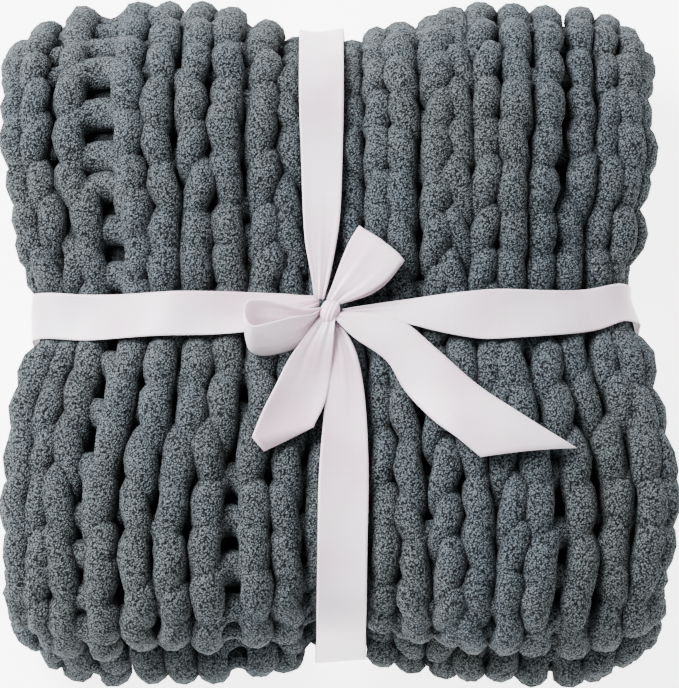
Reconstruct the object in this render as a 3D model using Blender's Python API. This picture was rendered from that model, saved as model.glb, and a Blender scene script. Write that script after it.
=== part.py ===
"""Chunky knit blanket, folded to a square bundle and tied crosswise with a satin ribbon.

Metres, +Z up. The bundle lies on the floor at Z = 0 with its face up. The knit's ribs run
along Y, and the folds of the quarters lie across them, at both ends of Y.

The blanket is first worked out as a square stack of its layers, and settle() then gives each
point of that stack its place in the tied bundle, which is drawn in where the ribbon runs.
"""
from collections import namedtuple
from math import ceil, cos, pi, radians, sin, sqrt

import bmesh
import bpy
from mathutils import Vector

# ---- driving dimensions of the folded stack
WIDTH = 0.512                  # a third of the blanket's width, across the ribs
LENGTH = 0.512                 # a quarter of the blanket's length, with its outer folds
STRIP = 0.0425                 # thickness of one layer of the stack: the folded-in thirds
LAYER_GAP = 0.003              # between two layers of the stack
RIB_RISE = 0.005               # crest of a rib over the strip's plain face
RIB_DIP = 0.002                # furrow between two ribs under that face
RIBS = 20                      # ribs across the face, two for each column of stitches
LOWER_STEP = 0.012             # the lower fold reaches this much past the upper one
INNER_TIP = 0.036              # reach of the inner layers into the big fold at the back

# ---- how the tied bundle settles
SIDE_DROP = 0.22               # share of the height that is lost at the sides
END_DROP = 0.09                # and at the two folded ends
RIM_LIFT = 0.010               # the sides' underside, off the floor
TOP_TUCK = 0.015               # depth of the face's furrow under the ribbon
BOTTOM_TUCK = 0.0085           # height of the underside's furrow over the floor
TUCK_REACH = 0.085             # from the ribbon's middle to the furrow's end
BACK_TUCK = 0.022              # the big fold is drawn in by the lengthwise ribbon
BACK_TUCK_REACH = 0.095
FRONT_TUCK = 0.016             # and so are the open end's folds
FRONT_TUCK_REACH = 0.115
CORNER_CUT = 0.030             # what the round corners take off the length
CORNER_PINCH = 0.010           # and off the width

# The tied bundle's reach to each side, which the ribbon across draws in at its waist.
Reach = namedtuple("Reach", "y left right")
SIDE_REACH = (
    Reach(-0.256, 0.240, 0.244),
    Reach(-0.205, 0.249, 0.249),
    Reach(-0.135, 0.254, 0.2575),
    Reach(-0.080, 0.250, 0.249),
    Reach(-0.045, 0.244, 0.240),
    Reach(-0.012, 0.231, 0.232),
    Reach(0.025, 0.233, 0.226),
    Reach(0.070, 0.245, 0.234),
    Reach(0.125, 0.257, 0.244),
    Reach(0.190, 0.261, 0.245),
    Reach(0.256, 0.250, 0.240),
)

# ---- ribbon
RIBBON_WIDTH = 0.038
RIBBON_SHEET = 0.001
RIBBON_CLEAR = 0.0022          # between the ribs' crests and the ribbon
CROSSING_CLEAR = 0.0042        # under the lengthwise ribbon, where the other one passes
RIBBON_STEP = 0.013            # between two sections of the ribbon
RIBBON_X_BACK = -0.013         # the lengthwise ribbon's middle at the big fold
RIBBON_X_FRONT = 0.004         # and at the open end
RIBBON_Y_LEFT = 0.010          # the other ribbon's middle at the left side
RIBBON_Y_RIGHT = 0.015         # and at the right side
KNOT_X = -0.005
KNOT_SIZE = Vector((0.0090, 0.0090, 0.0075))
ARM_START = 0.0105             # where the ribbon's arms come out of the knot
ARM_START_HALF = 0.0040        # half their width there, gathered
ARM_SPREAD = 0.085             # from the knot to the full width

KNIT_COLOUR = (0.102, 0.138, 0.156, 1.0)
RIBBON_COLOUR = (0.82, 0.78, 0.81, 1.0)

# ---- derived sizes of the stack
PITCH = STRIP + LAYER_GAP
MIDDLE_Z = RIB_RISE + STRIP / 2 + 1.5 * PITCH
HEIGHT = 2 * MIDDLE_Z
HALF_WIDTH = WIDTH / 2
HALF_LENGTH = LENGTH / 2
BIG_FOLD = 1.5 * PITCH                     # radii of the folds' middle lines
SMALL_FOLD = 0.5 * PITCH
FACE_OUT = STRIP / 2 + RIB_RISE            # from a strip's middle line to its crests
BIG_Y = HALF_LENGTH - BIG_FOLD - FACE_OUT  # where the big fold's turn begins
LOWER_Y = -HALF_LENGTH + SMALL_FOLD + FACE_OUT
UPPER_Y = LOWER_Y + LOWER_STEP

Stretch = namedtuple("Stretch", "kind size steps left right ribs")
Station = namedtuple("Station", "y z normal_y normal_z inside outside left right ribs")

# The strip's way through the stack: from the upper inner layer to the lower inner layer.
# left and right are the reach to each side at the stretch's end, and ribs is the share of
# the ribs' relief there.
STRIP_WAY = (
    Stretch("straight", BIG_Y - UPPER_Y, 7, 0.250, 0.251, 0.0),
    Stretch("turn", SMALL_FOLD, 7, 0.248, 0.249, 1.0),
    Stretch("straight", BIG_Y - UPPER_Y, 14, 0.246, 0.246, 1.0),
    Stretch("turn", BIG_FOLD, 10, 0.250, 0.249, 1.0),
    Stretch("straight", BIG_Y - LOWER_Y, 12, 0.252, 0.252, 1.0),
    Stretch("turn", SMALL_FOLD, 8, 0.252, 0.253, 1.0),
    Stretch("straight", BIG_Y - LOWER_Y, 7, 0.249, 0.250, 0.0),
)
# The inner layers' ends, thinned to follow the inside of the big fold.
Tip = namedtuple("Tip", "reach outside")
TIP_STEPS = (Tip(1.0, 0.30), Tip(0.85, 0.75), Tip(0.55, 1.0))


def ramp(value, start, end):
    """Smooth step from 0 at start to 1 at end."""
    share = min(max((value - start) / (end - start), 0.0), 1.0)
    return share * share * (3.0 - 2.0 * share)


def hill(distance, reach):
    """Smooth hill, 1 at its middle and exactly 0 past its reach."""
    share = distance / reach
    return (1.0 - share * share) ** 2 if abs(share) < 1.0 else 0.0


def ribbon_x(y):
    """Middle of the lengthwise ribbon at a place along the stack."""
    return RIBBON_X_FRONT + (RIBBON_X_BACK - RIBBON_X_FRONT) * (y / LENGTH + 0.5)


def ribbon_y(x):
    """Middle of the ribbon across at a place across the stack."""
    rise = RIBBON_Y_LEFT if x < 0 else RIBBON_Y_RIGHT
    return rise * (x / HALF_WIDTH) ** 2


def side_reach(x, y):
    """How far the tied bundle reaches to the point's side, at its place along the ribs."""
    y = min(max(y, SIDE_REACH[0].y), SIDE_REACH[-1].y)
    for low, high in zip(SIDE_REACH, SIDE_REACH[1:]):
        if y <= high.y:
            share = ramp(y, low.y, high.y)
            break
    if x < 0:
        return low.left + (high.left - low.left) * share
    return low.right + (high.right - low.right) * share


def settle(x, y, z):
    """The place in the tied bundle of a point of the square stack."""
    side = ramp(abs(x), 0.45 * HALF_WIDTH, HALF_WIDTH)
    outer = ramp(abs(x), 0.25 * HALF_WIDTH, HALF_WIDTH)
    rim = ramp(abs(x), 0.74 * HALF_WIDTH, HALF_WIDTH)
    end = ramp(abs(y), 0.55 * HALF_LENGTH, HALF_LENGTH)
    level = z / HEIGHT
    lengthwise = hill(x - ribbon_x(y), TUCK_REACH)
    tuck = 1.0 - (1.0 - lengthwise) * (1.0 - hill(y - ribbon_y(x), TUCK_REACH))
    settled_z = z * (1.0 - SIDE_DROP * side) * (1.0 - END_DROP * end) + RIM_LIFT * rim
    settled_z += tuck * (BOTTOM_TUCK * (1.0 - level) - TOP_TUCK * level)
    inward_x = (HALF_WIDTH - side_reach(x, y)) * outer + CORNER_PINCH * rim * end
    if y > 0:
        inward_y = BACK_TUCK * end * hill(x - ribbon_x(y), BACK_TUCK_REACH)
    else:
        inward_y = FRONT_TUCK * end * hill(x - ribbon_x(y), FRONT_TUCK_REACH)
    inward_y += CORNER_CUT * rim * end
    settled_x = x - inward_x if x > 0 else x + inward_x
    settled_y = y - inward_y if y > 0 else y + inward_y
    return Vector((settled_x, settled_y, settled_z))


def tip_stations(level, normal_z, stretch):
    """Rounded end of an inner layer, tip first."""
    inside_radius = BIG_FOLD - STRIP / 2 - LAYER_GAP
    for tip in TIP_STEPS:
        reach = INNER_TIP * tip.reach
        inside = sqrt(inside_radius ** 2 - reach ** 2) - SMALL_FOLD
        yield Station(BIG_Y + reach, level, 0.0, normal_z, inside, STRIP / 2 * tip.outside,
                      stretch.left, stretch.right, 0.0)


def way_stations():
    """Stations along the strip's way. Its turns all go the same way round."""
    y, z, heading = BIG_Y, MIDDLE_Z + SMALL_FOLD, pi
    before = STRIP_WAY[0]
    yield Station(y, z, 0.0, -1.0, STRIP / 2, STRIP / 2, before.left, before.right, 0.0)
    for stretch in STRIP_WAY:
        for step in range(stretch.steps):
            if stretch.kind == "turn":
                turn = pi / stretch.steps
                chord = 2.0 * stretch.size * sin(turn / 2)
                y += chord * cos(heading - turn / 2)
                z += chord * sin(heading - turn / 2)
                heading -= turn
            else:
                y += stretch.size / stretch.steps * cos(heading)
                z += stretch.size / stretch.steps * sin(heading)
            share = (step + 1) / stretch.steps
            left = before.left + (stretch.left - before.left) * share
            right = before.right + (stretch.right - before.right) * share
            ribs = before.ribs + (stretch.ribs - before.ribs) * share
            yield Station(y, z, -sin(heading), cos(heading), STRIP / 2, STRIP / 2,
                          left, right, ribs)
        before = stretch


def strip_stations():
    """All stations of the blanket's strip, with the thinned tips at both ends."""
    stations = list(tip_stations(MIDDLE_Z + SMALL_FOLD, -1.0, STRIP_WAY[0]))
    stations += list(way_stations())
    last_tip = list(tip_stations(MIDDLE_Z - SMALL_FOLD, 1.0, STRIP_WAY[-1]))
    return stations + last_tip[::-1]


def strip_ring(station):
    """Outline of the strip at a station: ribbed outer face, round rims, plain inner face."""
    left = -station.left + STRIP / 2
    right = station.right - STRIP / 2
    rib_width = (right - left) / RIBS
    crest = station.outside + RIB_RISE * station.ribs
    furrow = station.outside - RIB_DIP * station.ribs
    outline = []
    for rib in range(RIBS):
        start = left + rib * rib_width
        outline.append((start, furrow))
        outline.append((start + 0.26 * rib_width, crest))
        outline.append((start + 0.74 * rib_width, crest))
    outline.append((right, furrow))
    for angle in (45, 90, 135):
        depth = station.outside if angle < 90 else station.inside
        outline.append((right + STRIP / 2 * sin(radians(angle)), depth * cos(radians(angle))))
    inner_steps = 6
    for step in range(inner_steps + 1):
        outline.append((right + (left - right) * step / inner_steps, -station.inside))
    for angle in (135, 90, 45):
        depth = station.outside if angle < 90 else station.inside
        outline.append((left - STRIP / 2 * sin(radians(angle)), depth * cos(radians(angle))))
    ring = []
    for x, out in outline:
        ring.append(settle(x, station.y + station.normal_y * out, station.z + station.normal_z * out))
    return ring


def loft(name, rings, material, collection):
    """Closed solid through rings of equal length, with its faces pointing out."""
    mesh = bpy.data.meshes.new(name)
    bm = bmesh.new()
    rows = [[bm.verts.new(point) for point in ring] for ring in rings]
    for row, following in zip(rows, rows[1:]):
        for here in range(len(row)):
            there = (here + 1) % len(row)
            bm.faces.new((row[here], row[there], following[there], following[here]))
    bm.faces.new(rows[0][::-1])
    bm.faces.new(rows[-1])
    bmesh.ops.triangulate(bm, faces=[face for face in bm.faces if len(face.verts) > 4])
    bmesh.ops.recalc_face_normals(bm, faces=bm.faces)
    bm.to_mesh(mesh)
    bm.free()
    mesh.shade_smooth()
    mesh.set_sharp_from_angle(angle=radians(50))
    mesh.materials.append(material)
    thing = bpy.data.objects.new(name, mesh)
    collection.objects.link(thing)
    return thing


# ---- the ribbon: each piece is a thin sheet between a left and a right edge

def curve_through(points, steps):
    """Points of a smooth curve through the given ones, steps to each span."""
    padded = [2 * points[0] - points[1]] + points + [2 * points[-1] - points[-2]]
    curve = []
    for index in range(len(points) - 1):
        before, start, end, after = padded[index:index + 4]
        for step in range(steps):
            t = step / steps
            curve.append(0.5 * (2 * start + (end - before) * t
                                + (2 * before - 5 * start + 4 * end - after) * t * t
                                + (3 * start - before - 3 * end + after) * t ** 3))
    return curve + [points[-1]]


def ribbon_sheet(name, lefts, rights, crown, material, collection):
    """Thin solid between two edges, which rises by crown along its middle."""
    across = 4
    rings = []
    for index, (left, right) in enumerate(zip(lefts, rights)):
        first = max(index - 1, 0)
        last = min(index + 1, len(lefts) - 1)
        along = (lefts[last] + rights[last]) - (lefts[first] + rights[first])
        normal = (right - left).cross(along).normalized()
        upper, lower = [], []
        for step in range(across + 1):
            share = step / across
            place = left.lerp(right, share) + normal * crown * 4 * share * (1 - share)
            upper.append(settle(*(place + normal * RIBBON_SHEET / 2)))
            lower.append(settle(*(place - normal * RIBBON_SHEET / 2)))
        rings.append(upper + lower[::-1])
    return loft(name, rings, material, collection)


def arm_half_width(distance):
    """Half the ribbon's width at a distance from the knot, gathered at the knot."""
    full = RIBBON_WIDTH / 2
    return ARM_START_HALF + (full - ARM_START_HALF) * ramp(distance, 0.0, ARM_SPREAD)


def arc(centre_a, centre_b, radius, start, end, steps):
    """Points of an arc in a plane, angles in radians from the first axis."""
    angles = [start + (end - start) * step / steps for step in range(steps + 1)]
    return [(centre_a + radius * cos(angle), centre_b + radius * sin(angle)) for angle in angles]


def run(start, end, level):
    """Points of a straight run at one level, without its end."""
    steps = ceil(abs(end - start) / RIBBON_STEP)
    return [(start + (end - start) * step / steps, level) for step in range(steps)]


def lengthwise_ribbon(material, collection):
    """From the knot over the big fold, along the underside and up the open end."""
    out = RIBBON_CLEAR + RIBBON_SHEET / 2
    top, bottom = HEIGHT + out, -out
    small = SMALL_FOLD + FACE_OUT + out
    slant = LOWER_STEP / (2 * PITCH)
    way = run(ARM_START, BIG_Y, top)
    way += arc(BIG_Y, MIDDLE_Z, MIDDLE_Z + out, pi / 2, -pi / 2, 12)
    way += run(BIG_Y, LOWER_Y, bottom)[1:]
    way += arc(LOWER_Y, MIDDLE_Z - PITCH, small, 1.5 * pi, pi - slant, 5)
    way += arc(UPPER_Y, MIDDLE_Z + PITCH, small, pi - slant, pi / 2, 5)
    way += run(UPPER_Y, -ARM_START, top)[1:] + [(-ARM_START, top)]
    lefts, rights = [], []
    for y, z in way:
        on_top = z > HEIGHT
        half = arm_half_width(abs(y) - ARM_START) if on_top else RIBBON_WIDTH / 2
        middle = ribbon_x(y)
        if on_top:
            middle += (KNOT_X - middle) * (1 - ramp(abs(y), ARM_START, ARM_SPREAD))
        lefts.append(Vector((middle - half, y, z)))
        rights.append(Vector((middle + half, y, z)))
    return ribbon_sheet("ribbon_lengthwise", lefts, rights, 0.0, material, collection)


def across_ribbon(material, collection):
    """From the knot to the right, round under the bundle and back to the knot's left."""
    out = RIBBON_CLEAR + RIBBON_SHEET / 2
    low = CROSSING_CLEAR + RIBBON_SHEET / 2
    corner = STRIP / 2 + RIB_RISE
    side = HALF_WIDTH - corner
    top_corner, low_corner = HEIGHT - corner, corner
    way = run(ARM_START, side, HEIGHT + out)
    way += arc(side, top_corner, corner + out, pi / 2, 0.0, 5)
    way += arc(side, low_corner, corner + low, 0.0, -pi / 2, 5)
    way += run(side, -side, -low)[1:]
    way += arc(-side, low_corner, corner + low, 1.5 * pi, pi, 5)
    way += arc(-side, top_corner, corner + out, pi, pi / 2, 5)
    way += run(-side, -ARM_START, HEIGHT + out)[1:] + [(-ARM_START, HEIGHT + out)]
    lefts, rights = [], []
    for x, z in way:
        half = arm_half_width(abs(x) - ARM_START) if z > HEIGHT else RIBBON_WIDTH / 2
        on_top = 1 - ramp(abs(x), ARM_START, ARM_SPREAD) if z > HEIGHT else 0.0
        lefts.append(Vector((x + KNOT_X * on_top, ribbon_y(x) + half, z)))
        rights.append(Vector((x + KNOT_X * on_top, ribbon_y(x) - half, z)))
    return ribbon_sheet("ribbon_across", lefts, rights, 0.0, material, collection)


# Edges of the bow's pieces in millimetres: right of the knot, up the face, over the ribs.
Edges = namedtuple("Edges", "left right")

LEFT_LOOP = (
    Edges((-10, -2, 11), (-11, -4, 6)),
    Edges((-18, -8, 13), (-18, -15, 5)),
    Edges((-32, -12, 18), (-32, -31, 5)),
    Edges((-46, -17, 22), (-46, -34, 5)),
    Edges((-59, -15, 23), (-59, -33, 5)),
    Edges((-64, -8, 24), (-64, -26, 6)),
    Edges((-58, -1, 25), (-58, -18, 6)),
    Edges((-46, 0, 25), (-46, -17, 6)),
    Edges((-32, -1, 22), (-32, -14, 6)),
    Edges((-19, -1, 16), (-19, -6, 7)),
    Edges((-11, 3, 12), (-11, 1, 8)),
)
RIGHT_LOOP = (
    Edges((2, 11, 10), (9, 7, 9)),
    Edges((4, 20, 12), (17, 7, 11)),
    Edges((7, 33, 15), (29, 11, 14)),
    Edges((12, 47, 16), (42, 21, 15)),
    Edges((18, 59, 13), (53, 33, 12)),
    Edges((19, 62, 9), (55, 35, 8)),
    Edges((18, 59, 4.5), (53, 33, 4.5)),
    Edges((12, 46, 4), (42, 22, 4)),
    Edges((8, 33, 4), (29, 13, 4)),
    Edges((5, 20, 5), (17, 9, 5)),
    Edges((4, 12, 6), (9, 8, 6)),
)
LEFT_TAIL = (
    Edges((-9, -8, 8), (-4, -11, 8)),
    Edges((-18, -20, 9), (-4, -22, 9)),
    Edges((-31, -38, 8), (-1, -38, 8)),
    Edges((-40, -58, 6), (-3, -55, 6)),
    Edges((-49, -80, 5), (-8, -75, 5)),
    Edges((-51, -109, 4.5), (-14, -93, 4.5)),
)
RIGHT_TAIL = (
    Edges((12, -3, 9), (9, -8, 8)),
    Edges((32, -4, 9), (18, -25, 8)),
    Edges((53, -12, 9), (37, -40, 8)),
    Edges((78, -33, 8), (56, -60, 6)),
    Edges((106, -59, 6), (74, -82, 5)),
    Edges((142, -83, 5), (94, -98, 5)),
    Edges((186, -106, 4.5), (114, -113, 4.5)),
)


def bow_piece(name, table, crown, material, collection):
    """A loop or a tail of the bow, through the rows of its table."""
    millimetre = 0.001
    place = Vector((KNOT_X, 0.0, HEIGHT))
    lefts = [place + millimetre * Vector(row.left) for row in table]
    rights = [place + millimetre * Vector(row.right) for row in table]
    return ribbon_sheet(name, curve_through(lefts, 3), curve_through(rights, 3), crown,
                        material, collection)


def knot(material, collection):
    """The bow's knot, a small wrapped lump on the crossing of the arms."""
    mesh = bpy.data.meshes.new("ribbon_knot")
    bm = bmesh.new()
    bmesh.ops.create_uvsphere(bm, u_segments=16, v_segments=10, radius=1.0)
    centre = settle(KNOT_X, 0.0, HEIGHT + RIBBON_CLEAR + KNOT_SIZE.z)
    for vert in bm.verts:
        vert.co = centre + Vector(a * b for a, b in zip(vert.co, KNOT_SIZE))
    bm.to_mesh(mesh)
    bm.free()
    mesh.shade_smooth()
    mesh.materials.append(material)
    thing = bpy.data.objects.new("ribbon_knot", mesh)
    collection.objects.link(thing)
    return thing


def plain_material(name, colour, roughness):
    """Principled material of one colour."""
    material = bpy.data.materials.new(name)
    material.use_nodes = True
    shader = material.node_tree.nodes["Principled BSDF"]
    shader.inputs["Base Color"].default_value = colour
    shader.inputs["Roughness"].default_value = roughness
    shader.inputs["Metallic"].default_value = 0.0
    return material


def main():
    for thing in list(bpy.data.objects):
        bpy.data.objects.remove(thing, do_unlink=True)
    collection = bpy.data.collections.new("chunky_knit_blanket")
    bpy.context.scene.collection.children.link(collection)
    knit = plain_material("chenille_knit", KNIT_COLOUR, 0.95)
    rings = [strip_ring(station) for station in strip_stations()]
    loft("blanket", rings, knit, collection)
    satin = plain_material("satin_ribbon", RIBBON_COLOUR, 0.4)
    lengthwise_ribbon(satin, collection)
    across_ribbon(satin, collection)
    knot(satin, collection)
    bow_piece("ribbon_loop_left", LEFT_LOOP, 0.001, satin, collection)
    bow_piece("ribbon_loop_right", RIGHT_LOOP, 0.001, satin, collection)
    bow_piece("ribbon_tail_left", LEFT_TAIL, 0.001, satin, collection)
    bow_piece("ribbon_tail_right", RIGHT_TAIL, 0.001, satin, collection)


if __name__ == "__main__":
    main()
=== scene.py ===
"""Chunky knit blanket, folded to a square bundle and tied with a satin ribbon.

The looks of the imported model: real stocking-stitch yarn on the folded strip, the sheets that
show between its stitches, and the soft ribbon with its bow. Metres, +Z up, the bundle lies on
the floor with its ribs along Y. The folded stack is that of the part's own source. Its corners,
its waist and the ribbon's way are drawn up to about a centimetre closer to the picture here.
"""

from collections import namedtuple
from math import ceil, cos, pi, radians, sin

import bmesh
import bpy
import numpy as np
from bpy.props import (FloatProperty, FloatVectorProperty, IntProperty, PointerProperty,
                       StringProperty)
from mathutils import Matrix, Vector


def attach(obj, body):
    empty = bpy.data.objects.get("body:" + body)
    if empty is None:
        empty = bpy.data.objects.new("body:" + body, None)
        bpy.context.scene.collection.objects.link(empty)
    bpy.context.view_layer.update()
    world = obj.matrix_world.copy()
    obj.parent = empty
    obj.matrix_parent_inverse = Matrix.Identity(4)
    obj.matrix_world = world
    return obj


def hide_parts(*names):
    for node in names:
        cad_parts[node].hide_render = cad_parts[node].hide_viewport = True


bl_info = {
    "name": "Folded Chunky Knit Blanket",
    "version": (1, 0, 0),
    "blender": (4, 5, 0),
    "location": "View3D > Sidebar > Blanket",
    "description": "Dresses the folded blanket with its yarn, its inner sheets and its ribbon",
    "category": "Object",
}

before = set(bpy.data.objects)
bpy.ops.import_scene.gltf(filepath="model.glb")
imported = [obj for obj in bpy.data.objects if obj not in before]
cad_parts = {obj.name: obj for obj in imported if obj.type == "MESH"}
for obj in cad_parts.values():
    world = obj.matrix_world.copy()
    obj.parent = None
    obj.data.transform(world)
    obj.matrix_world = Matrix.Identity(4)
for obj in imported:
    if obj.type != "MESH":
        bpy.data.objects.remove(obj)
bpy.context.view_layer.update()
BODY = "root"

MM = 0.001                     # a millimetre, in metres

# ---- the folded stack, with the part's own sizes
WIDTH = 0.512                  # a third of the blanket's width, across the ribs
LENGTH = 0.512                 # a quarter of the blanket's length, with its outer folds
STRIP = 0.0425                 # thickness of one layer of the stack: the folded-in thirds
LAYER_GAP = 0.003              # between two layers of the stack
RIB_RISE = 0.005               # crest of a rib over the strip's plain face
LOWER_STEP = 0.012             # the lower fold reaches this much past the upper one

# ---- how the tied bundle settles
SIDE_DROP = 0.22               # share of the height that is lost at the sides
END_DROP = 0.09                # and at the two folded ends
SIDE_FROM = 0.45               # share of the half width where the sides' drop begins
OUTER_FROM = 0.25              # where the sides begin to be drawn in
RIM_FROM = 0.74                # where the rims begin
END_FROM = 0.55                # share of the half length where the ends begin
RIM_LIFT = 0.010               # the sides' underside, off the floor
TOP_TUCK = 0.015               # depth of the face's furrow under the ribbon
BOTTOM_TUCK = 0.0085           # height of the underside's furrow over the floor
TUCK_REACH = 0.085             # from the ribbon's middle to the furrow's end
BACK_TUCK = 0.022              # the big fold is drawn in by the lengthwise ribbon
BACK_TUCK_LEFT = 0.095         # from that ribbon to where it is free again, on the left
BACK_TUCK_RIGHT = 0.150        # and on the right
FRONT_TUCK = 0.012             # the open end's folds are drawn in too
FRONT_TUCK_REACH = 0.115
CORNER_CUT = 0.021             # what the round corners take off the length
CORNER_PINCH = 0.003           # and off the width
FLOOR_TOUCH = 0.0004           # lowest place of the yarn over the floor
SHEET_TOUCH = 0.003            # and of the sheets inside it

# The tied bundle's reach to each side, which the ribbon across draws in at its waist.
Reach = namedtuple("Reach", "y left right")
SIDE_REACH = (
    Reach(-0.256, 0.243, 0.2395),
    Reach(-0.205, 0.248, 0.242),
    Reach(-0.135, 0.252, 0.2535),
    Reach(-0.080, 0.251, 0.2465),
    Reach(-0.045, 0.2475, 0.2385),
    Reach(-0.012, 0.238, 0.236),
    Reach(0.025, 0.240, 0.230),
    Reach(0.070, 0.248, 0.232),
    Reach(0.125, 0.2595, 0.2410),
    Reach(0.190, 0.259, 0.2405),
    Reach(0.256, 0.257, 0.244),
)

PITCH = STRIP + LAYER_GAP
MIDDLE_Z = RIB_RISE + STRIP / 2 + 1.5 * PITCH
HEIGHT = 2 * MIDDLE_Z
HALF_WIDTH = WIDTH / 2
HALF_LENGTH = LENGTH / 2
BIG_FOLD = 1.5 * PITCH                     # radii of the folds' middle lines
SMALL_FOLD = 0.5 * PITCH
FACE_OUT = STRIP / 2 + RIB_RISE            # from a strip's middle line to its crests
BIG_Y = HALF_LENGTH - BIG_FOLD - FACE_OUT  # where the big fold's turn begins
LOWER_Y = -HALF_LENGTH + SMALL_FOLD + FACE_OUT
UPPER_Y = LOWER_Y + LOWER_STEP

# The strip's stretches in order: the place where a straight one starts or round which a fold
# turns, the side that the outward normal points to (up the stack or, for a fold, to +Y), the
# fold's radius, 0 for a straight one, and the strip's reach to each side at the stretch's end.
Stretch = namedtuple("Stretch", "length y z side radius left right")
UPPER_RUN = BIG_Y - UPPER_Y
LOWER_RUN = BIG_Y - LOWER_Y
SMALL_TURN = pi * SMALL_FOLD
BIG_TURN = pi * BIG_FOLD
STRIP_WAY = (
    Stretch(UPPER_RUN, BIG_Y, MIDDLE_Z + SMALL_FOLD, -1, 0.0, 0.250, 0.251),
    Stretch(SMALL_TURN, UPPER_Y, MIDDLE_Z + PITCH, -1, SMALL_FOLD, 0.248, 0.249),
    Stretch(UPPER_RUN, UPPER_Y, MIDDLE_Z + BIG_FOLD, 1, 0.0, 0.246, 0.246),
    Stretch(BIG_TURN, BIG_Y, MIDDLE_Z, 1, BIG_FOLD, 0.250, 0.249),
    Stretch(LOWER_RUN, BIG_Y, MIDDLE_Z - BIG_FOLD, -1, 0.0, 0.252, 0.252),
    Stretch(SMALL_TURN, LOWER_Y, MIDDLE_Z - PITCH, -1, SMALL_FOLD, 0.252, 0.253),
    Stretch(LOWER_RUN, LOWER_Y, MIDDLE_Z - SMALL_FOLD, 1, 0.0, 0.249, 0.250),
)
WAY_STARTS = [sum(stretch.length for stretch in STRIP_WAY[:n]) for n in range(8)]
WAY_LENGTH = WAY_STARTS[7]
UPPER_START, BIG_START = WAY_STARTS[1], WAY_STARTS[3]
LOWER_START, INNER_START = WAY_STARTS[5], WAY_STARTS[6]

# The knit's columns of stitches, from left to right: where the two legs of a stitch lie
# across the strip, in millimetres, at the open end, at the ribbon and at the big fold.
# Columns whose legs lie far apart are the open ones, with rungs between their legs.
Column = namedtuple("Column", "front middle back")
Legs = namedtuple("Legs", "left right")
COLUMNS = (
    Column(Legs(-287, -266), Legs(-268, -248), Legs(-288, -267)),
    Column(Legs(-245, -225), Legs(-229, -209), Legs(-246, -225)),
    Column(Legs(-206, -176), Legs(-190, -153), Legs(-196, -151)),
    Column(Legs(-147, -122), Legs(-130, -102), Legs(-129, -105)),
    Column(Legs(-96, -59), Legs(-80, -55), Legs(-81, -55)),
    Column(Legs(-38, -14), Legs(-34, -12), Legs(-34, -11)),
    Column(Legs(8, 32), Legs(8, 28), Legs(9, 28)),
    Column(Legs(54, 77), Legs(47, 70), Legs(46, 72)),
    Column(Legs(99, 122), Legs(88, 108), Legs(87, 106)),
    Column(Legs(146, 179), Legs(127, 152), Legs(134, 159)),
    Column(Legs(204, 230), Legs(178, 208), Legs(193, 213)),
    Column(Legs(252, 270), Legs(229, 248), Legs(233, 252)),
    Column(Legs(289, 305), Legs(267, 285), Legs(272, 291)),
)
FRONT_STATION = -0.165         # places of the three stations along the stack
MIDDLE_STATION = -0.010
BACK_STATION = 0.130

# ---- the knit's rows and its single stitches
OPEN_END_COURSE = 0.0365       # height of a row of stitches at the open end
BIG_FOLD_COURSE = 0.0305       # and at the big fold
FIRST_COURSE = 0.012           # from the strip's start to its first row
LAST_MARGIN = 0.010            # and from the last one at least to its end
EDGE_COLUMNS = 2               # columns that are knitted at each side of the inner layers
INNER_SINK = 0.005             # how much deeper the knit lies in the two inner layers
INNER_SLOPE = 0.04             # length over which it gets there
SEEN_MARGIN = 0.03             # rows this far round the folds' inner ends still show
SEEN_TURN = 0.6                # share of the big fold's turn that faces up or back
FABRIC_OUT = 0.017             # from the strip's middle line to its outer stitches' middles
SHOULDER_SKEW = 1.22           # how late a leg comes to the front on its way up
SLANT_RANGE = (0.75, 1.2)      # the columns' slant over the plain one
TILT_SPREAD = 0.16             # spread of the single stitches' slant
SIZE_SPREAD = 0.04             # spread of their yarn's thickness
COLUMN_DRIFT = 1.8             # spread of the columns' heights, in the unevenness
SIDE_SHARE = 0.6               # share of the unevenness across the strip
RISE_SHARE = 0.5               # and out of it
FULLNESS = 1.10                # the yarn's fullest thickness over its plain one
PLAIN_LEGS = 0.024             # between a stitch's legs where its yarn has the plain thickness
ROOM_RANGE = (0.93, 1.08)      # thinnest and fullest yarn in narrower and wider stitches
ROOT_CLASP = 0.78              # where the stitch below clasps the yarn, head 0 to root 1
ROOT_REACH = 0.38              # from there to where the yarn is free
HEAD_CLASP = 0.22              # where the next stitch clasps it too
HEAD_REACH = 0.20
HEAD_SHARE = 0.25              # how much of the other clasp's squeeze it has there
RIM_BEND = 0.018               # radius at which the knit's width runs round the strip's rims
RIM_THIN = 0.02                # share of its rise that the knit loses there
RIBBON_PRESS = 0.0035          # depth to which the ribbon presses into the knit
PRESS_REACH = 0.036            # from the ribbon's middle to where the knit is free again
FOLD_RISE = 0.0057             # how much the outer stitches stand off where the strip folds

# ---- the sheets inside the yarn
SHEET_TOP = -0.006             # their outer face over the strip's middle line
SHEET_RIM = 0.0105             # how far their round rims reach past the strip's flat width
SHEET_MARGIN = 0.02            # how far they reach past the strip's ends
SHEET_STEPS = 19               # points across them
SHEET_SECTIONS = 120           # sections along them

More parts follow.
